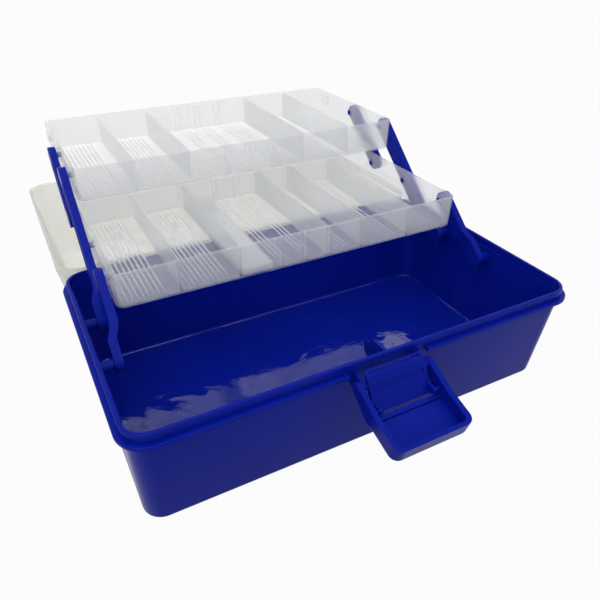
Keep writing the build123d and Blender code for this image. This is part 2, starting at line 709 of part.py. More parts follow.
def lever_point(u, n):
    """A point of the lever's side view, u along it and n out of its pan, as (y, z)."""
    angle = radians(LEVER_REST_ANGLE)
    y = LATCH_PIVOT_Y + u * cos(angle) + n * sin(angle)
    z = LATCH_PIVOT_Z + u * sin(angle) - n * cos(angle)
    return y, z


def lever_arm():
    tangent = LEVER_EYE * sin(radians(LEVER_FLARE))
    outline = [
        lever_point(0, LEVER_EYE),
        lever_point(PAN_START + PAN_WALL, 0),
        lever_point(PAN_START + PAN_WALL, -PAN_DEPTH),
        lever_point(PAN_START - PAN_WALL, -PAN_DEPTH + PAN_FLOOR / 2),
        lever_point(-tangent, -LEVER_EYE * cos(radians(LEVER_FLARE))),
    ]
    inner = LEVER_HALF_WIDTH - LEVER_ARM
    arm = prism(outline, inner, LEVER_HALF_WIDTH)
    arm += rod(LATCH_PIVOT_Y, LATCH_PIVOT_Z, LEVER_EYE, inner, LEVER_HALF_WIDTH)
    pivot_y, pivot_z = lever_point(CLASP_PIVOT_U, CLASP_PIVOT_N)
    arm -= rod(pivot_y, pivot_z, STUB_RADIUS + RUNNING_GAP, inner, LEVER_HALF_WIDTH)
    stub_end = inner - LUG_THICK
    arm += rod(LATCH_PIVOT_Y, LATCH_PIVOT_Z, STUB_RADIUS, stub_end, inner + PIN_ROOT)
    return arm


def lever_pan():
    plane = lever_plane()
    length = LEVER_LENGTH - PAN_START
    centre_y = -(LEVER_LENGTH + PAN_START) / 2
    out_of_pan = Axis((0, 0, 0), plane.z_dir)
    block_face = plane * Pos(0, centre_y, -PAN_DEPTH) * Rectangle(2 * LEVER_HALF_WIDTH, length)
    block = extrude(block_face, PAN_DEPTH)
    block = fillet(block.edges().filter_by(out_of_pan).sort_by(Axis.Y)[:2], PAN_RADIUS)
    underside = block.faces().sort_by(out_of_pan)[0]
    block = fillet(underside.edges().sort_by(Axis.Y)[:5], PAN_EDGE_FILLET)
    well_length = length - 2 * PAN_WALL
    well_half = LEVER_HALF_WIDTH - LEVER_ARM
    well_face = plane * Pos(0, centre_y, -PAN_DEPTH + PAN_FLOOR) * Rectangle(2 * well_half, well_length)
    well = extrude(well_face, PAN_DEPTH)
    well = fillet(well.edges().filter_by(out_of_pan).sort_by(Axis.Y)[:2], PAN_RADIUS - PAN_WALL)
    rear_z = -PAN_DEPTH + PAN_REAR_HEIGHT
    rear_face = plane * Pos(0, -PAN_START - PAN_WALL / 2, rear_z) * Rectangle(2 * well_half, 1.5 * PAN_WALL)
    return block - well - extrude(rear_face, PAN_DEPTH)


def make_lever():
    return lever_pan() + both_sides(lever_arm())


def clasp_point(v, w):
    """A point of the clasp's side view, v up along it and w out of its face, as (y, z)."""
    pivot_y, pivot_z = lever_point(CLASP_PIVOT_U, CLASP_PIVOT_N)
    angle = radians(CLASP_REST_ANGLE)
    y = pivot_y + v * cos(angle) - w * sin(angle)
    z = pivot_z + v * sin(angle) + w * cos(angle)
    return y, z


def clasp_plate():
    back = CLASP_FACE - CLASP_PLATE
    outline = [
        clasp_point(PLATE_FOOT, CLASP_FACE),
        clasp_point(PLATE_TOP, CLASP_FACE),
        clasp_point(PLATE_TOP, back),
        clasp_point(PLATE_FOOT, back),
    ]
    return prism(outline, -CLASP_HALF_WIDTH, CLASP_HALF_WIDTH)


def clasp_web():
    """Thin web behind the groove between the plate and the head."""
    front = CLASP_FACE - GROOVE_DEPTH
    back = front - GROOVE_WEB
    outline = [
        clasp_point(PLATE_TOP - GROOVE_WEB, front),
        clasp_point(SKIRT_FOOT + GROOVE_WEB, front),
        clasp_point(SKIRT_FOOT + GROOVE_WEB, back),
        clasp_point(PLATE_TOP - GROOVE_WEB, back),
    ]
    return prism(outline, -CLASP_HALF_WIDTH, CLASP_HALF_WIDTH)


def clasp_head():
    """Sloped bar along the top of the clasp, with a skirt in front and the hook behind."""
    skirt_back = CLASP_FACE - SKIRT_THICK
    head_foot = BAR_FOOT + HOOK_HEIGHT
    head_outline = [
        clasp_point(SKIRT_FOOT, skirt_back),
        clasp_point(SKIRT_FOOT, CLASP_FACE),
        clasp_point(BAR_FRONT_TOP, CLASP_FACE),
        clasp_point(BAR_TOP, BAR_BACK),
        clasp_point(head_foot, BAR_BACK),
        clasp_point(BAR_FOOT + HOOK_LEAN, skirt_back),
    ]
    hook_outline = [
        clasp_point(BAR_FOOT, HOOK_TIP),
        clasp_point(BAR_FOOT + HOOK_LEAN, skirt_back),
        clasp_point(BAR_FRONT_TOP, skirt_back),
        clasp_point(head_foot, BAR_BACK),
        clasp_point(BAR_FOOT + HOOK_HEIGHT * HOOK_TAPER, HOOK_TIP),
    ]
    hook_half = TONGUE_HALF_WIDTH - TONGUE_FRAME - HOOK_SIDE_GAP
    head = prism(head_outline, -CLASP_HALF_WIDTH, CLASP_HALF_WIDTH)
    return head + prism(hook_outline, -hook_half, hook_half)


def clasp_slot():
    """Cutter for the long slot in the sloped top of the head."""
    slope = atan2(BAR_TOP - BAR_FRONT_TOP, CLASP_FACE - BAR_BACK)
    middle_v = (BAR_TOP + BAR_FRONT_TOP) / 2
    middle_w = (BAR_BACK + CLASP_FACE) / 2
    corners = []
    for side, depth in ((-1, -SLOT_DEPTH), (1, -SLOT_DEPTH), (1, SLOT_DEPTH), (-1, SLOT_DEPTH)):
        v = middle_v + side * sin(slope) * SLOT_WIDTH / 2 - cos(slope) * depth
        w = middle_w - side * cos(slope) * SLOT_WIDTH / 2 - sin(slope) * depth
        corners.append(clasp_point(v, w))
    half = CLASP_HALF_WIDTH - CLASP_POST
    return prism(corners, -half, half)


def clasp_post():
    """Side of the clasp that joins plate and head and carries a hinge stub."""
    half = CLASP_HALF_WIDTH
    outline = [
        clasp_point(PLATE_FOOT, CLASP_FACE - CLASP_PLATE),
        clasp_point(PLATE_FOOT, CLASP_FACE),
        clasp_point(-HINGE_BOSS, 0),
        clasp_point(HINGE_BOSS, 0),
        clasp_point(HINGE_BOSS_RISE, CLASP_FACE),
        clasp_point(BAR_FRONT_TOP, CLASP_FACE),
        clasp_point(BAR_TOP, BAR_BACK),
        clasp_point(PLATE_TOP, BAR_BACK),
    ]
    pivot_y, pivot_z = clasp_point(0, 0)
    post = prism(outline, half - CLASP_POST, half)
    post += rod(pivot_y, pivot_z, HINGE_BOSS, half - CLASP_POST, half)
    return post + rod(pivot_y, pivot_z, STUB_RADIUS, half - PIN_ROOT, LEVER_HALF_WIDTH - PIN_END_GAP)


def make_clasp():
    body = clasp_plate() + clasp_web() + clasp_head()
    return body - clasp_slot() + both_sides(clasp_post())


def build_nodes():
    long_arm = make_long_arm()
    front_arm = make_front_arm()
    rear_arm = make_rear_arm()
    nodes = {
        "base": make_base(),
        "hinge_pin_left": hinge_pin(-HINGE_AT),
        "hinge_pin_right": hinge_pin(HINGE_AT),
        "lid": laid_open(make_lid_closed()),
        "lid_handle": laid_open(make_handle_closed()),
        "lower_tray": make_tray(LOWER_TRAY_PIVOT, -1),
        "upper_tray": make_tray(UPPER_TRAY_PIVOT, 0),
        "long_arm_right": long_arm,
        "long_arm_left": mirrored(long_arm),
        "front_arm_right": front_arm,
        "front_arm_left": mirrored(front_arm),
        "rear_arm_right": rear_arm,
        "rear_arm_left": mirrored(rear_arm),
        "latch_lever": make_lever(),
        "latch_clasp": make_clasp(),
        "tray_divider": make_fitted_divider(),
    }
    for index in range(3):
        nodes[f"spare_divider_{index + 1}"] = make_spare_divider(index)
    return nodes


os.makedirs("parts", exist_ok=True)
for name, shape in build_nodes().items():
    export_step(shape, f"parts/{name}.step")
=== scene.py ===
import math

import bpy
from mathutils import Matrix, Vector


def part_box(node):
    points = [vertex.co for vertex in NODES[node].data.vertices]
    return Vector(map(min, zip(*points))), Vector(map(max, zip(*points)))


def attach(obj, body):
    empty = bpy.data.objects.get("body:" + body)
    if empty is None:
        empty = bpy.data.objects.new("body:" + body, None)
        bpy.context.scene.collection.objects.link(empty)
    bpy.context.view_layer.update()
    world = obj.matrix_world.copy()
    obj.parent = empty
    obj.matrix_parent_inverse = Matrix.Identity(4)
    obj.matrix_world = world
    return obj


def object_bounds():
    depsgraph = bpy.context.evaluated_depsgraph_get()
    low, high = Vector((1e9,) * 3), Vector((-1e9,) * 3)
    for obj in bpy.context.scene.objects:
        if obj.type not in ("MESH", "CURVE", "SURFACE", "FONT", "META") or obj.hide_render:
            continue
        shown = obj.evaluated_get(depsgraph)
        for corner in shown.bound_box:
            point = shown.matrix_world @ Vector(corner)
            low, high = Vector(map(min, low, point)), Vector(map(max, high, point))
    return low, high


# Looks of an open tackle box: a glossy blue tub, arms and latch, a frosted lid and two frosted trays with
# ribbed floors, on a white studio floor. Everything is in metres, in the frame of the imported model.

bl_info = {
    "name": "Tackle Box Finishes",
    "version": (1, 0, 0),
    "blender": (4, 5, 0),
    "location": "View3D > Sidebar > Tackle Box",
    "description": "Finishes, tray floor ribs and studio for a cantilever tackle box",
    "category": "Object",
}

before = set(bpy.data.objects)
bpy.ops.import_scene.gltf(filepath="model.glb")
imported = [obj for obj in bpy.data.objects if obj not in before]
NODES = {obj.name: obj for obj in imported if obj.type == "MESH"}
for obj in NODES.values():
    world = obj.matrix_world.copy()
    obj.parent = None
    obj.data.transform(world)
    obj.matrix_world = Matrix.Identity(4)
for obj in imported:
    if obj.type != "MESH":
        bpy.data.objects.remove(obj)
CAD_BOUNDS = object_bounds()

ARMS = (
    "long_arm_left",
    "long_arm_right",
    "front_arm_left",
    "front_arm_right",
    "rear_arm_left",
    "rear_arm_right",
)
DIVIDERS = ("tray_divider", "spare_divider_1", "spare_divider_2", "spare_divider_3")
TRAYS = ("lower_tray", "upper_tray")
BLUE_PIECES = ("base", *ARMS, "latch_lever", "latch_clasp")
LID_PIECES = ("lid", "lid_handle")
HINGE_PINS = ("hinge_pin_left", "hinge_pin_right")

WHITE = (1.0, 1.0, 1.0, 1.0)


class Wire:
    """A node's output socket that takes part in arithmetic by adding Math nodes."""

    def __init__(self, graph, socket):
        self.graph = graph
        self.socket = socket

    def math(self, operation, first, second=0.0):
        return self.graph.node("ShaderNodeMath", {"operation": operation}, {0: first, 1: second})

    def __add__(self, other):
        return self.math("ADD", self, other)

    def __radd__(self, other):
        return self.math("ADD", other, self)

    def __sub__(self, other):
        return self.math("SUBTRACT", self, other)

    def __rsub__(self, other):
        return self.math("SUBTRACT", other, self)

    def __mul__(self, other):
        return self.math("MULTIPLY", self, other)

    def __rmul__(self, other):
        return self.math("MULTIPLY", other, self)

    def __truediv__(self, other):
        return self.math("DIVIDE", self, other)

    def __pow__(self, other):
        return self.math("POWER", self, other)

    def above(self, other):
        return self.math("MAXIMUM", self, other)


class Graph:
    """A node tree of materials or geometry, with one method that adds any node."""

    def __init__(self, tree):
        self.tree = tree

    def node(self, kind, settings=None, sockets=None, output=0):
        """Adds a node, gives it its settings and then its sockets, and returns one of its outputs."""
        made = self.tree.nodes.new(kind)
        for name, value in (settings or {}).items():
            setattr(made, name, value)
        for key, value in (sockets or {}).items():
            if isinstance(value, Wire):
                self.tree.links.new(value.socket, made.inputs[key])
            else:
                made.inputs[key].default_value = value
        return Wire(self, made.outputs[output]) if made.outputs else made

    def object_place(self):
        return self.node("ShaderNodeTexCoord", output="Object")

    def noise(self, place, size, detail=2.0, distortion=0.0):
        """Noise whose blobs are about size metres across."""
        return self.node(
            "ShaderNodeTexNoise",
            {"noise_dimensions": "3D"},
            {"Vector": place, "Scale": 1.0 / size, "Detail": detail, "Distortion": distortion},
            output="Fac",
        )

    def smooth(self, value, low, high):
        """0 at low, 1 at high and a soft step between them."""
        return self.node(
            "ShaderNodeMapRange",
            {"interpolation_type": "SMOOTHSTEP", "clamp": True},
            {"Value": value, "From Min": low, "From Max": high, "To Min": 0.0, "To Max": 1.0},
        )

    def mix_colour(self, factor, first, second):
        return self.node("ShaderNodeMix", {"data_type": "RGBA"}, {0: factor, 6: first, 7: second}, output=2)

    def parts_of(self, vector):
        split = self.node("ShaderNodeSeparateXYZ", sockets={"Vector": vector})
        outputs = split.socket.node.outputs
        return [Wire(self, outputs[axis]) for axis in ("X", "Y", "Z")]

    def stretched(self, vector, scale):
        return self.node("ShaderNodeVectorMath", {"operation": "MULTIPLY"}, {0: vector, 1: scale})

    def bump(self, height):
        """Normal of a surface raised by height, in metres."""
        return self.node("ShaderNodeBump", sockets={"Height": height, "Strength": 1.0, "Distance": 1.0})


def new_finish(name):
    """An empty material and its graph."""
    finish = bpy.data.materials.new(name)
    finish.use_nodes = True
    finish.node_tree.nodes.clear()
    return finish, Graph(finish.node_tree)


def principled(graph, **sockets):
    """A Principled shader; names are its sockets with _ for a space."""
    named = {key.replace("_", " "): value for key, value in sockets.items()}
    return graph.node("ShaderNodeBsdfPrincipled", sockets=named)


def close_finish(graph, shader):
    graph.node("ShaderNodeOutputMaterial", sockets={"Surface": shader})


def opaque(colour, level=1.0):
    return (colour[0] * level, colour[1] * level, colour[2] * level, 1.0)


def give_finish(node, finish):
    """Puts a finish on every material slot of a CAD node."""
    mesh_object = NODES[node]
    if not mesh_object.material_slots:
        mesh_object.data.materials.append(finish)
    for slot in mesh_object.material_slots:
        slot.material = finish


class BluePlasticSettings(bpy.types.PropertyGroup):
    """Glossy moulded blue of the tub, arms and latch."""

    colour: bpy.props.FloatVectorProperty(
        name="Colour", description="Colour of the moulded blue", subtype="COLOR", size=3, min=0, max=1,
        default=(0.002, 0.012, 0.32),
    )
    roughness: bpy.props.FloatProperty(
        name="Roughness", description="Roughness of the walls, arms and latch", default=0.3, min=0, max=1,
        subtype="FACTOR",
    )
    floor_roughness: bpy.props.FloatProperty(
        name="Floor Roughness", description="Roughness of the polished floor inside the tub", default=0.035,
        min=0, max=1, subtype="FACTOR",
    )
    floor_wave: bpy.props.FloatProperty(
        name="Floor Wave", description="Height of the slow waves in the floor inside the tub", default=0.0011,
        min=0, unit="LENGTH", precision=6,
    )
    floor_top: bpy.props.FloatProperty(
        name="Floor Top", description="Height of the floor inside the tub", default=0.0025, unit="LENGTH",
        precision=5,
    )


class FrostedPlasticSettings(bpy.types.PropertyGroup):
    """Natural translucent mouldings: trays, dividers and lid."""

    tray_colour: bpy.props.FloatVectorProperty(
        name="Tray Colour", description="Colour of the haze in the trays", subtype="COLOR", size=3,
        min=0, max=1, default=(0.95, 0.96, 0.975),
    )
    lid_colour: bpy.props.FloatVectorProperty(
        name="Lid Colour", description="Colour of the haze in the lid and its handle", subtype="COLOR", size=3,
        min=0, max=1, default=(0.90, 0.90, 0.85),
    )
    tray_haze: bpy.props.FloatProperty(
        name="Tray Haze", description="Share of light that one skin of a tray wall holds back", default=0.63,
        min=0, max=1, subtype="FACTOR",
    )
    floor_haze: bpy.props.FloatProperty(
        name="Floor Haze", description="Share of light that one skin of a tray floor holds back", default=0.3,
        min=0, max=1, subtype="FACTOR",
    )
    divider_haze: bpy.props.FloatProperty(
        name="Divider Haze", description="Share of light that one skin of a divider holds back", default=0.6,
        min=0, max=1, subtype="FACTOR",
    )
    rib_haze: bpy.props.FloatProperty(
        name="Rib Haze", description="Share of light that one skin of a floor rib holds back", default=0.8,
        min=0, max=1, subtype="FACTOR",
    )
    lid_haze: bpy.props.FloatProperty(
        name="Lid Haze", description="Share of light that one skin of the lid holds back", default=0.83,
        min=0, max=1, subtype="FACTOR",
    )
    roughness: bpy.props.FloatProperty(
        name="Roughness", description="How much the plastic blurs what is behind it", default=0.215,
        min=0, max=1, subtype="FACTOR",
    )


class TrayRibSettings(bpy.types.PropertyGroup):
    """Ribs moulded front to back on the tray floors, and the walls that bound them."""

    pitch: bpy.props.FloatProperty(
        name="Pitch", description="Distance from rib to rib", default=0.0039, min=0.001,
        unit="LENGTH", precision=5,
    )
    width: bpy.props.FloatProperty(
        name="Width", description="Width of one rib", default=0.0014, min=0.0001,
        unit="LENGTH", precision=5,
    )
    height: bpy.props.FloatProperty(
        name="Height", description="Height of one rib over the floor", default=0.00027, min=0.0001,
        unit="LENGTH", precision=5,
    )
    plain_strip: bpy.props.FloatProperty(
        name="Plain Strip", description="Smooth strip at the right of each row of ribs", default=0.0062, min=0,
        unit="LENGTH", precision=5,
    )
    end_gap: bpy.props.FloatProperty(
        name="End Gap", description="Smooth floor between the rib ends and the front and rear walls",
        default=0.0045, min=0, unit="LENGTH", precision=5,
    )
    wall: bpy.props.FloatProperty(
        name="Wall", description="Thickness of a tray's wall with its draft", default=0.0028, min=0,
        unit="LENGTH", precision=5,
    )
    floor: bpy.props.FloatProperty(
        name="Floor", description="Thickness of a tray's floor", default=0.0016, min=0,
        unit="LENGTH", precision=5,
    )
    end_boss: bpy.props.FloatProperty(
        name="End Boss", description="How far the pivot bosses stand out of a tray's end",
        default=0.0009, min=0, unit="LENGTH", precision=5,
    )
    outer_partition: bpy.props.FloatProperty(
        name="Outer Partition", description="Distance of the outer partitions from a tray's middle",
        default=0.10175, unit="LENGTH", precision=5,
    )
    inner_partition: bpy.props.FloatProperty(
        name="Inner Partition", description="Distance of the inner partitions from a tray's middle",
        default=0.05445, unit="LENGTH", precision=5,
    )
    guide_spacing: bpy.props.FloatProperty(
        name="Guide Spacing", description="Distance between the divider guides of the middle compartment",
        default=0.022, unit="LENGTH", precision=5,
    )


class StudioSettings(bpy.types.PropertyGroup):
    """White floor, soft light and the camera."""

    camera_place: bpy.props.FloatVectorProperty(
        name="Camera Place", description="Where the camera stands", subtype="TRANSLATION",
        unit="LENGTH", size=3, default=(-0.19399, -0.33926, 0.32404),
    )
    yaw: bpy.props.FloatProperty(
        name="Yaw", description="Turn of the camera about the vertical", subtype="ANGLE",
        default=math.radians(-28.13),
    )
    pitch: bpy.props.FloatProperty(
        name="Pitch", description="How far the camera looks down", subtype="ANGLE",
        default=math.radians(33.13),
    )
    roll: bpy.props.FloatProperty(
        name="Roll", description="Turn of the camera about its line of sight", subtype="ANGLE",
        default=math.radians(0.42),
    )
    lens: bpy.props.FloatProperty(
        name="Lens", description="Focal length in millimetres", default=34.54, min=1,
    )
    sky: bpy.props.FloatProperty(
        name="Sky", description="Strength of the even light from all round", default=0.5, min=0,
    )
    floor_shade: bpy.props.FloatProperty(
        name="Floor Shade", description="How much light the floor throws back on the object",
        default=0.5, min=0, max=1, subtype="FACTOR",
    )


# The blue plastic. Sizes and heights are in metres. A STEP is the pair of levels between which a pattern sets
# in. A SHARE or a DULLING is how much of a pattern goes into the colour or the roughness.
BLUE_TONES = (0.9, 1.1)
MOTTLE_SIZE = 0.055
FLOW_SIZE = 0.02
FLOW_STRETCH = (1.0, 1.0, 0.35)
FLOW_STEP = (0.55, 0.8)
FLOW_TINT = (0.02, 0.05, 0.46)
FLOW_SHARE = 0.12
FLOW_DULLING = 0.14
SCRATCH_SIZE = 0.0012
SCRATCH_STRETCH = (1.0, 0.09, 1.0)
SCRATCH_STEP = (0.68, 0.76)
SCRATCH_SPOT_SIZE = 0.03
SCRATCH_SPOT_STEP = (0.52, 0.66)
SCUFF_TINT = (0.12, 0.16, 0.55)
SCUFF_SHARE = 0.10
WALL_SCUFF_DULLING = 0.12
FLOOR_SCUFF_DULLING = 0.1
SKIN_SIZE = 0.0011
SKIN_HEIGHT = 0.0000035
SLOW_WAVE_SIZE = 0.034
SLOW_WAVE_HEIGHT = 0.00012
RIPPLE_SIZE = 0.009
RIPPLE_SHARE = 0.1
WALL_SPECULAR = 0.06
POLISHED_IOR = 1.8
POLISHED_FACING_STEP = (0.75, 0.97)
POLISH_FULL_UP_TO = 0.0008
POLISH_GONE_FROM = 0.003


def make_blue_finish(settings):
    """Gloss blue with a faint mottle, an orange-peel skin, scuffs, and a polished wavy floor inside the tub."""
    finish, graph = new_finish("gloss_blue_plastic")
    place = graph.object_place()
    height_up = graph.parts_of(place)[2]
    facing_up = graph.parts_of(graph.node("ShaderNodeTexCoord", output="Normal"))[2]
    top = settings.floor_top
    low_enough = graph.smooth(height_up, top + POLISH_GONE_FROM, top + POLISH_FULL_UP_TO)
    polished = graph.smooth(facing_up, *POLISHED_FACING_STEP) * low_enough

    mottle = graph.noise(place, MOTTLE_SIZE, detail=3.0)
    flow = graph.noise(graph.stretched(place, FLOW_STRETCH), FLOW_SIZE, detail=2.0, distortion=0.6)
    darker, lighter = (opaque(settings.colour, tone) for tone in BLUE_TONES)
    shade = graph.mix_colour(mottle, darker, lighter)
    shade = graph.mix_colour(graph.smooth(flow, *FLOW_STEP) * FLOW_SHARE, shade, opaque(FLOW_TINT))
    scratches = graph.noise(graph.stretched(place, SCRATCH_STRETCH), SCRATCH_SIZE, detail=1.0, distortion=0.2)
    scratch_spots = graph.noise(place, SCRATCH_SPOT_SIZE, detail=1.0)
    scuffs = graph.smooth(scratches, *SCRATCH_STEP) * graph.smooth(scratch_spots, *SCRATCH_SPOT_STEP)
    shade = graph.mix_colour(scuffs * SCUFF_SHARE, shade, opaque(SCUFF_TINT))

    skin = graph.noise(place, SKIN_SIZE, detail=2.0)
    slow = graph.noise(place, SLOW_WAVE_SIZE, detail=1.5, distortion=0.8)
    ripple = graph.noise(place, RIPPLE_SIZE, detail=2.0, distortion=1.4)
    walls = principled(
        graph,
        Base_Color=shade,
        Roughness=settings.roughness + (flow - 0.5) * FLOW_DULLING + scuffs * WALL_SCUFF_DULLING,
        Specular_IOR_Level=WALL_SPECULAR,
        Normal=graph.bump(slow * SLOW_WAVE_HEIGHT + skin * SKIN_HEIGHT),
    )
    floor = principled(
        graph,
        Base_Color=shade,
        Roughness=settings.floor_roughness + scuffs * FLOOR_SCUFF_DULLING,
        IOR=POLISHED_IOR,
        Normal=graph.bump((slow + ripple * RIPPLE_SHARE) * settings.floor_wave),
    )
    close_finish(graph, graph.node("ShaderNodeMixShader", sockets={0: polished, 1: walls, 2: floor}))
    return finish


# The milky plastic. Sizes and heights are in metres. The render crackled at a tray haze of 0.67, and at 0.71
# it lost what lies behind the tray walls.
CLOUD_SIZE = 0.04
CLOUD_TONES = (0.97, 1.03)
CLOUD_DULLING = 0.06
STREAK_SIZE = 0.012
STREAK_STRETCH = (1.0, 0.4, 1.0)
STREAK_HEIGHT = 0.00003
GRAIN_SIZE = 0.0009
GRAIN_DULLING = 0.04
GRAIN_HEIGHT = 0.0000015
VEIL_LEAST = 0.95
VEIL_CLOUDS = 0.07
VEIL_STREAKS = 0.03
CLEAR_VEIL_LEAST = 0.9
CLEAR_VEIL_CLOUDS = 0.2
CLEAR_FACING_STEP = (0.7, 0.95)
CLEAR_FULL_UP_TO = 0.0003
CLEAR_GONE_FROM = 0.0009
MILKY_IOR = 1.12
MILKY_TRANSMISSION = 0.62


def make_frosted_finish(name, colour, haze, settings, floor_top=None):
    """Milky natural plastic that softens what is behind it, with slight clouds and a frosted grain.

    Haze is the share of light that one skin holds back. A tray's floor, below floor_top, is clearer.
    """
    finish, graph = new_finish(name)
    place = graph.object_place()
    clouds = graph.noise(place, CLOUD_SIZE, detail=3.0)
    streaks = graph.noise(graph.stretched(place, STREAK_STRETCH), STREAK_SIZE, detail=2.0, distortion=0.7)
    grain = graph.noise(place, GRAIN_SIZE, detail=2.0)
    darker, lighter = (opaque(colour, tone) for tone in CLOUD_TONES)
    shade = graph.mix_colour(clouds, darker, lighter)
    veil = haze * (VEIL_LEAST + clouds * VEIL_CLOUDS + streaks * VEIL_STREAKS)
    if floor_top is not None:
        height_up = graph.parts_of(place)[2]
        facing_up = graph.parts_of(graph.node("ShaderNodeTexCoord", output="Normal"))[2]
        level = graph.smooth(facing_up * facing_up, *CLEAR_FACING_STEP)
        clear = level * graph.smooth(height_up, floor_top + CLEAR_GONE_FROM, floor_top + CLEAR_FULL_UP_TO)
        clear_veil = settings.floor_haze * (CLEAR_VEIL_LEAST + clouds * CLEAR_VEIL_CLOUDS)
        veil = veil * (1.0 - clear) + clear_veil * clear
    shader = principled(
        graph,
        Base_Color=shade,
        Roughness=settings.roughness + (grain - 0.5) * GRAIN_DULLING + (clouds - 0.5) * CLOUD_DULLING,
        IOR=MILKY_IOR,
        Transmission_Weight=MILKY_TRANSMISSION,
        Alpha=veil,
        Normal=graph.bump(grain * GRAIN_HEIGHT + streaks * STREAK_HEIGHT),
    )
    close_finish(graph, shader)
    return finish


# The steel wire. Sizes and heights are in metres.
WIRE_LINE_SIZE = 0.0003
WIRE_LINE_STRETCH = (0.04, 1.0, 1.0)
WIRE_LINE_HEIGHT = 0.000004
WIRE_LINE_DULLING = 0.18
WIRE_ROUGHNESS = 0.22
WIRE_CLOUD_SIZE = 0.006
WIRE_DARKER = (0.5, 0.5, 0.51)
WIRE_LIGHTER = (0.66, 0.66, 0.67)


def make_steel_finish():
    """Plain drawn wire with fine lines along the pin."""
    finish, graph = new_finish("drawn_steel")
    place = graph.object_place()
    lines = graph.noise(graph.stretched(place, WIRE_LINE_STRETCH), WIRE_LINE_SIZE, detail=2.0)
    clouds = graph.noise(place, WIRE_CLOUD_SIZE, detail=2.0)
    shader = principled(
        graph,
        Base_Color=graph.mix_colour(clouds, opaque(WIRE_DARKER), opaque(WIRE_LIGHTER)),
        Metallic=1.0,
        Roughness=WIRE_ROUGHNESS + lines * WIRE_LINE_DULLING,
        Normal=graph.bump(lines * WIRE_LINE_HEIGHT),
    )
    close_finish(graph, shader)
    return finish


def rib_zones(tray, settings):
    """A mesh with one face for each ribbed patch of a tray's floor, and the patch's width on each face."""
    low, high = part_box(tray)
    half = (high.x - low.x) / 2 - settings.end_boss - settings.wall
    guide = settings.guide_spacing
    outer, inner = settings.outer_partition, settings.inner_partition
    edges = (-half, -outer, -inner, -guide, 0.0, guide, inner, outer, half)
    side_gap = settings.width
    front = low.y + settings.wall + settings.end_gap
    rear = high.y - settings.wall - settings.end_gap
    top = low.z + settings.floor
    mesh = bpy.data.meshes.new(f"{tray}_rib_zones")
    corners, faces, widths = [], [], []
    for left, right in zip(edges[:-1], edges[1:]):
        from_x = left + side_gap
        to_x = right - settings.plain_strip
        first = len(corners)
        corners += [(from_x, front, top), (to_x, front, top), (to_x, rear, top), (from_x, rear, top)]
        faces.append(tuple(range(first, first + 4)))
        widths.append(to_x - from_x)
    mesh.from_pydata(corners, [], faces)
    attribute = mesh.attributes.new("zone_width", "FLOAT", "FACE")
    attribute.data.foreach_set("value", widths)
    return mesh, rear - front


# One rib: its mesh, and how sharply it thins towards its ends. COUNT_SLACK is the part of a pitch by which a
# row may be too long for its patch.
RIB_SIDES = 10
RIB_SEGMENTS = 8
RIB_END_THINNING = 0.9
RIB_END_SHARPNESS = 4.0
COUNT_SLACK = 0.05


def rib_tree():
    """Geometry Nodes tree that lays a row of rounded ribs across each zone face."""
    tree = bpy.data.node_groups.new("floor_ribs", "GeometryNodeTree")
    interface = tree.interface
    interface.new_socket("Geometry", in_out="INPUT", socket_type="NodeSocketGeometry")
    for name in ("Pitch", "Rib Width", "Rib Height", "Rib Length"):
        interface.new_socket(name, in_out="INPUT", socket_type="NodeSocketFloat")
    interface.new_socket("Material", in_out="INPUT", socket_type="NodeSocketMaterial")
    interface.new_socket("Geometry", in_out="OUTPUT", socket_type="NodeSocketGeometry")
    graph = Graph(tree)
    inputs = graph.node("NodeGroupInput").socket.node.outputs
    given = {socket.name: Wire(graph, socket) for socket in inputs if socket.name}

    points = graph.node("GeometryNodeMeshToPoints", {"mode": "FACES"}, {"Mesh": given["Geometry"]})
    zone_width = graph.node("GeometryNodeInputNamedAttribute", {"data_type": "FLOAT"}, {"Name": "zone_width"})
    steps = zone_width / given["Pitch"] + COUNT_SLACK
    count = steps.math("FLOOR", steps)
    repeated = graph.node(
        "GeometryNodeDuplicateElements", {"domain": "POINT"}, {"Geometry": points, "Amount": count}
    )
    index = Wire(graph, repeated.socket.node.outputs["Duplicate Index"])
    shift = (index + 0.5) * given["Pitch"] - zone_width / 2.0
    offset = graph.node("ShaderNodeCombineXYZ", sockets={"X": shift})
    placed = graph.node("GeometryNodeSetPosition", sockets={"Geometry": repeated, "Offset": offset})

    bar = graph.node(
        "GeometryNodeMeshCylinder",
        {"fill_type": "NGON"},
        {"Vertices": RIB_SIDES, "Side Segments": RIB_SEGMENTS, "Radius": 1.0, "Depth": 2.0},
    )
    where = graph.node("GeometryNodeInputPosition")
    x, y, along = graph.parts_of(where)
    full = (1.0 - RIB_END_THINNING * (along * along) ** RIB_END_SHARPNESS) ** 0.5
    tapered = graph.node("ShaderNodeCombineXYZ", sockets={"X": x * full, "Y": y * full, "Z": along})
    bar = graph.node("GeometryNodeSetPosition", sockets={"Geometry": bar, "Position": tapered})
    scale = graph.node(
        "ShaderNodeCombineXYZ",
        sockets={"X": given["Rib Width"] / 2.0, "Y": given["Rib Height"], "Z": given["Rib Length"] / 2.0},
    )
    bar = graph.node(
        "GeometryNodeTransform", sockets={"Geometry": bar, "Rotation": (math.radians(90), 0, 0), "Scale": scale}
    )
    ribs = graph.node("GeometryNodeInstanceOnPoints", sockets={"Points": placed, "Instance": bar})
    ribs = graph.node("GeometryNodeRealizeInstances", sockets={"Geometry": ribs})
    ribs = graph.node("GeometryNodeSetShadeSmooth", sockets={"Geometry": ribs, "Shade Smooth": True})
    ribs = graph.node("GeometryNodeSetMaterial", sockets={"Geometry": ribs, "Material": given["Material"]})
    graph.node("NodeGroupOutput", sockets={"Geometry": ribs})
    return tree


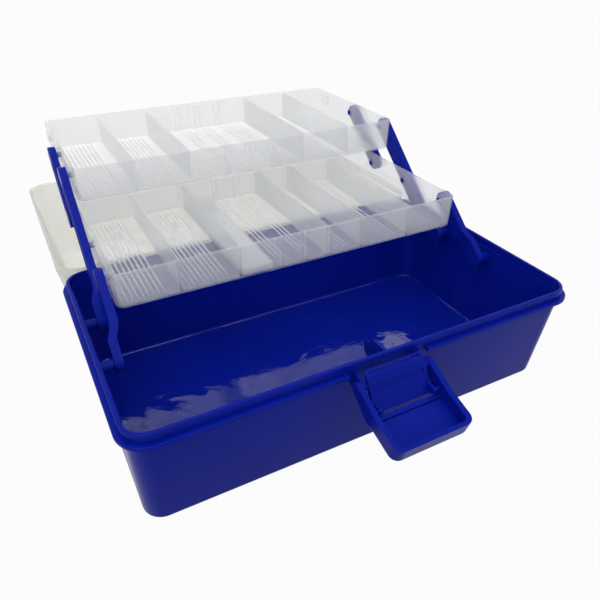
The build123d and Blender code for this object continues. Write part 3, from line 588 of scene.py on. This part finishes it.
def make_ribs(tray, tree, settings, finish):
    """Runs the rib tree on a tray's zones and keeps the result as a plain mesh that rides on the tray."""
    zones, length = rib_zones(tray, settings)
    carrier = bpy.data.objects.new(f"{tray}_zones", zones)
    bpy.context.scene.collection.objects.link(carrier)
    modifier = carrier.modifiers.new("floor_ribs", "NODES")
    modifier.node_group = tree
    values = {
        "Pitch": settings.pitch,
        "Rib Width": settings.width,
        "Rib Height": settings.height,
        "Rib Length": length,
        "Material": finish,
    }
    for item in tree.interface.items_tree:
        if item.in_out == "INPUT" and item.name in values:
            modifier[item.identifier] = values[item.name]
    depsgraph = bpy.context.evaluated_depsgraph_get()
    mesh = bpy.data.meshes.new_from_object(carrier.evaluated_get(depsgraph))
    carrier.modifiers.remove(modifier)
    bpy.data.objects.remove(carrier)
    if not mesh.polygons:
        raise RuntimeError(f"{tray}: the rib tree made no faces")
    mesh.name = f"{tray}_ribs"
    ribs = bpy.data.objects.new(f"{tray}_ribs", mesh)
    bpy.context.scene.collection.objects.link(ribs)
    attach(ribs, tray)
    return ribs


def shown_to_eye(graph):
    """1 for camera, mirror and see-through rays, 0 for the rays that light the object."""
    paths = graph.node("ShaderNodeLightPath").socket.node.outputs
    camera, glossy, through = (
        Wire(graph, paths[name]) for name in ("Is Camera Ray", "Is Glossy Ray", "Is Transmission Ray")
    )
    return camera.above(glossy).above(through)


def make_world(settings):
    world = bpy.data.worlds.new("white_studio")
    world.use_nodes = True
    world.node_tree.nodes.clear()
    graph = Graph(world.node_tree)
    lit = graph.node("ShaderNodeBackground", sockets={"Color": WHITE, "Strength": settings.sky})
    seen = graph.node("ShaderNodeBackground", sockets={"Color": WHITE, "Strength": 1.0})
    both = graph.node("ShaderNodeMixShader", sockets={0: shown_to_eye(graph), 1: lit, 2: seen})
    graph.node("ShaderNodeOutputWorld", sockets={"Surface": both})
    bpy.context.scene.world = world


# The studio, in metres and watts. FLOOR_WHITENESS is the part of plain white in what the eye sees of the floor.
# The rest keeps the shadow.
FLOOR_REACH = 6.0
FLOOR_DROP = 0.0002
FLOOR_WHITENESS = 0.96
LAMP_TARGET = (0.0, 0.1, 0.08)
TOP_LAMP = {"place": (-0.25, -0.15, 1.7), "size": 1.5, "power": 11.5}
FRONT_LAMP = {"place": (-1.3, -1.5, 1.0), "size": 1.0, "power": 4.8}
SENSOR_WIDTH_MM = 36.0
CLIP_START = 0.01
CLIP_END = 50.0
# Long light paths, because many clear skins lie behind one another.
LIGHT_BOUNCES = 32
CLEAR_BOUNCES = 40


def make_floor(settings):
    """A wide white floor under the object, which keeps a soft shadow."""
    mesh = bpy.data.meshes.new("studio_floor")
    reach = FLOOR_REACH
    level = CAD_BOUNDS[0].z - FLOOR_DROP
    corners = [(-reach, -reach, level), (reach, -reach, level), (reach, reach, level), (-reach, reach, level)]
    mesh.from_pydata(corners, [], [(0, 1, 2, 3)])
    floor = bpy.data.objects.new("studio_floor", mesh)
    bpy.context.scene.collection.objects.link(floor)
    finish, graph = new_finish("studio_white")
    shade = settings.floor_shade
    matt = graph.node("ShaderNodeBsdfDiffuse", sockets={"Color": (shade, shade, shade, 1.0)})
    white = graph.node("ShaderNodeEmission", sockets={"Color": WHITE, "Strength": 1.0})
    whitened = shown_to_eye(graph) * FLOOR_WHITENESS
    close_finish(graph, graph.node("ShaderNodeMixShader", sockets={0: whitened, 1: matt, 2: white}))
    mesh.materials.append(finish)


def make_lamp(name, place, size, power):
    """A soft square lamp that looks at the middle of the box."""
    lamp = bpy.data.lights.new(name, "AREA")
    lamp.shape = "SQUARE"
    lamp.size = size
    lamp.energy = power
    lamp_object = bpy.data.objects.new(name, lamp)
    lamp_object.location = place
    lamp_object.rotation_euler = (Vector(LAMP_TARGET) - Vector(place)).to_track_quat("-Z", "Y").to_euler()
    bpy.context.scene.collection.objects.link(lamp_object)


def make_camera(settings):
    yaw, pitch, roll = settings.yaw, settings.pitch, settings.roll
    forward = Vector((-math.sin(yaw) * math.cos(pitch), math.cos(yaw) * math.cos(pitch), -math.sin(pitch)))
    level = Vector((math.cos(yaw), math.sin(yaw), 0.0))
    upright = level.cross(forward)
    right = level * math.cos(roll) + upright * math.sin(roll)
    up = upright * math.cos(roll) - level * math.sin(roll)
    camera = bpy.data.cameras.new("camera")
    camera.lens = settings.lens
    camera.sensor_fit = "HORIZONTAL"
    camera.sensor_width = SENSOR_WIDTH_MM
    camera.clip_start = CLIP_START
    camera.clip_end = CLIP_END
    camera_object = bpy.data.objects.new("camera", camera)
    bpy.context.scene.collection.objects.link(camera_object)
    turn = Matrix((right, up, -forward)).transposed().to_4x4()
    camera_object.matrix_world = Matrix.Translation(Vector(settings.camera_place)) @ turn
    bpy.context.scene.camera = camera_object


class TACKLEBOX_OT_blue_parts(bpy.types.Operator):
    """Give the tub, the arms and the latch their gloss blue"""

    bl_idname = "tacklebox.blue_parts"
    bl_label = "Tub, Arms and Latch"

    def execute(self, context):
        finish = make_blue_finish(context.scene.tacklebox_blue)
        for node in BLUE_PIECES:
            give_finish(node, finish)
        return {"FINISHED"}


class TACKLEBOX_OT_lid(bpy.types.Operator):
    """Give the lid and its handle their warm cloudy plastic"""

    bl_idname = "tacklebox.lid"
    bl_label = "Lid and Handle"

    def execute(self, context):
        settings = context.scene.tacklebox_frosted
        finish = make_frosted_finish("cloudy_lid_plastic", settings.lid_colour, settings.lid_haze, settings)
        for node in LID_PIECES:
            give_finish(node, finish)
        return {"FINISHED"}


class TACKLEBOX_OT_trays(bpy.types.Operator):
    """Give both trays their frosted plastic and lay the ribs on their floors"""

    bl_idname = "tacklebox.trays"
    bl_label = "Trays and Floor Ribs"

    def execute(self, context):
        settings = context.scene.tacklebox_frosted
        rib_settings = context.scene.tacklebox_ribs
        rib = make_frosted_finish("frosted_rib_plastic", settings.tray_colour, settings.rib_haze, settings)
        tree = rib_tree()
        for tray in TRAYS:
            floor_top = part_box(tray)[0].z + rib_settings.floor
            body = make_frosted_finish(
                f"frosted_{tray}_plastic", settings.tray_colour, settings.tray_haze, settings, floor_top
            )
            give_finish(tray, body)
            make_ribs(tray, tree, rib_settings, rib)
        return {"FINISHED"}


class TACKLEBOX_OT_dividers(bpy.types.Operator):
    """Give the fitted and the loose dividers their clearer plastic"""

    bl_idname = "tacklebox.dividers"
    bl_label = "Dividers"

    def execute(self, context):
        settings = context.scene.tacklebox_frosted
        finish = make_frosted_finish("divider_plastic", settings.tray_colour, settings.divider_haze, settings)
        for node in DIVIDERS:
            give_finish(node, finish)
        return {"FINISHED"}


class TACKLEBOX_OT_hinge_pins(bpy.types.Operator):
    """Give the two hinge pins their drawn steel"""

    bl_idname = "tacklebox.hinge_pins"
    bl_label = "Hinge Pins"

    def execute(self, context):
        finish = make_steel_finish()
        for node in HINGE_PINS:
            give_finish(node, finish)
        return {"FINISHED"}


class TACKLEBOX_OT_stage(bpy.types.Operator):
    """Set up the white floor, the soft light and the camera"""

    bl_idname = "tacklebox.stage"
    bl_label = "Studio"

    def execute(self, context):
        settings = context.scene.tacklebox_studio
        make_world(settings)
        make_floor(settings)
        make_lamp("top_lamp", **TOP_LAMP)
        make_lamp("front_lamp", **FRONT_LAMP)
        make_camera(settings)
        scene = context.scene
        scene.view_settings.view_transform = "Standard"
        scene.cycles.max_bounces = LIGHT_BOUNCES
        scene.cycles.transmission_bounces = LIGHT_BOUNCES
        scene.cycles.transparent_max_bounces = CLEAR_BOUNCES
        return {"FINISHED"}


class TACKLEBOX_PT_sidebar(bpy.types.Panel):
    """Lists the pieces of the tackle box in the sidebar"""

    bl_label = "Tackle Box"
    bl_idname = "TACKLEBOX_PT_sidebar"
    bl_space_type = "VIEW_3D"
    bl_region_type = "UI"
    bl_category = "Tackle Box"

    def draw(self, context):
        for operator in OPERATORS:
            self.layout.operator(operator.bl_idname)
        for name, group in GROUPS:
            box = self.layout.box()
            settings = getattr(context.scene, name)
            for key in group.__annotations__:
                box.prop(settings, key)


OPERATORS = (
    TACKLEBOX_OT_blue_parts,
    TACKLEBOX_OT_lid,
    TACKLEBOX_OT_trays,
    TACKLEBOX_OT_dividers,
    TACKLEBOX_OT_hinge_pins,
    TACKLEBOX_OT_stage,
)
GROUPS = (
    ("tacklebox_blue", BluePlasticSettings),
    ("tacklebox_frosted", FrostedPlasticSettings),
    ("tacklebox_ribs", TrayRibSettings),
    ("tacklebox_studio", StudioSettings),
)


def register():
    for name, group in GROUPS:
        bpy.utils.register_class(group)
        setattr(bpy.types.Scene, name, bpy.props.PointerProperty(type=group))
    for operator in OPERATORS:
        bpy.utils.register_class(operator)
    bpy.utils.register_class(TACKLEBOX_PT_sidebar)


def unregister():
    bpy.utils.unregister_class(TACKLEBOX_PT_sidebar)
    for operator in reversed(OPERATORS):
        bpy.utils.unregister_class(operator)
    for name, group in reversed(GROUPS):
        delattr(bpy.types.Scene, name)
        bpy.utils.unregister_class(group)


def main():
    register()
    bpy.ops.tacklebox.blue_parts()
    bpy.ops.tacklebox.lid()
    bpy.ops.tacklebox.trays()
    bpy.ops.tacklebox.dividers()
    bpy.ops.tacklebox.hinge_pins()
    bpy.ops.tacklebox.stage()


if __name__ == "__main__":
    main()
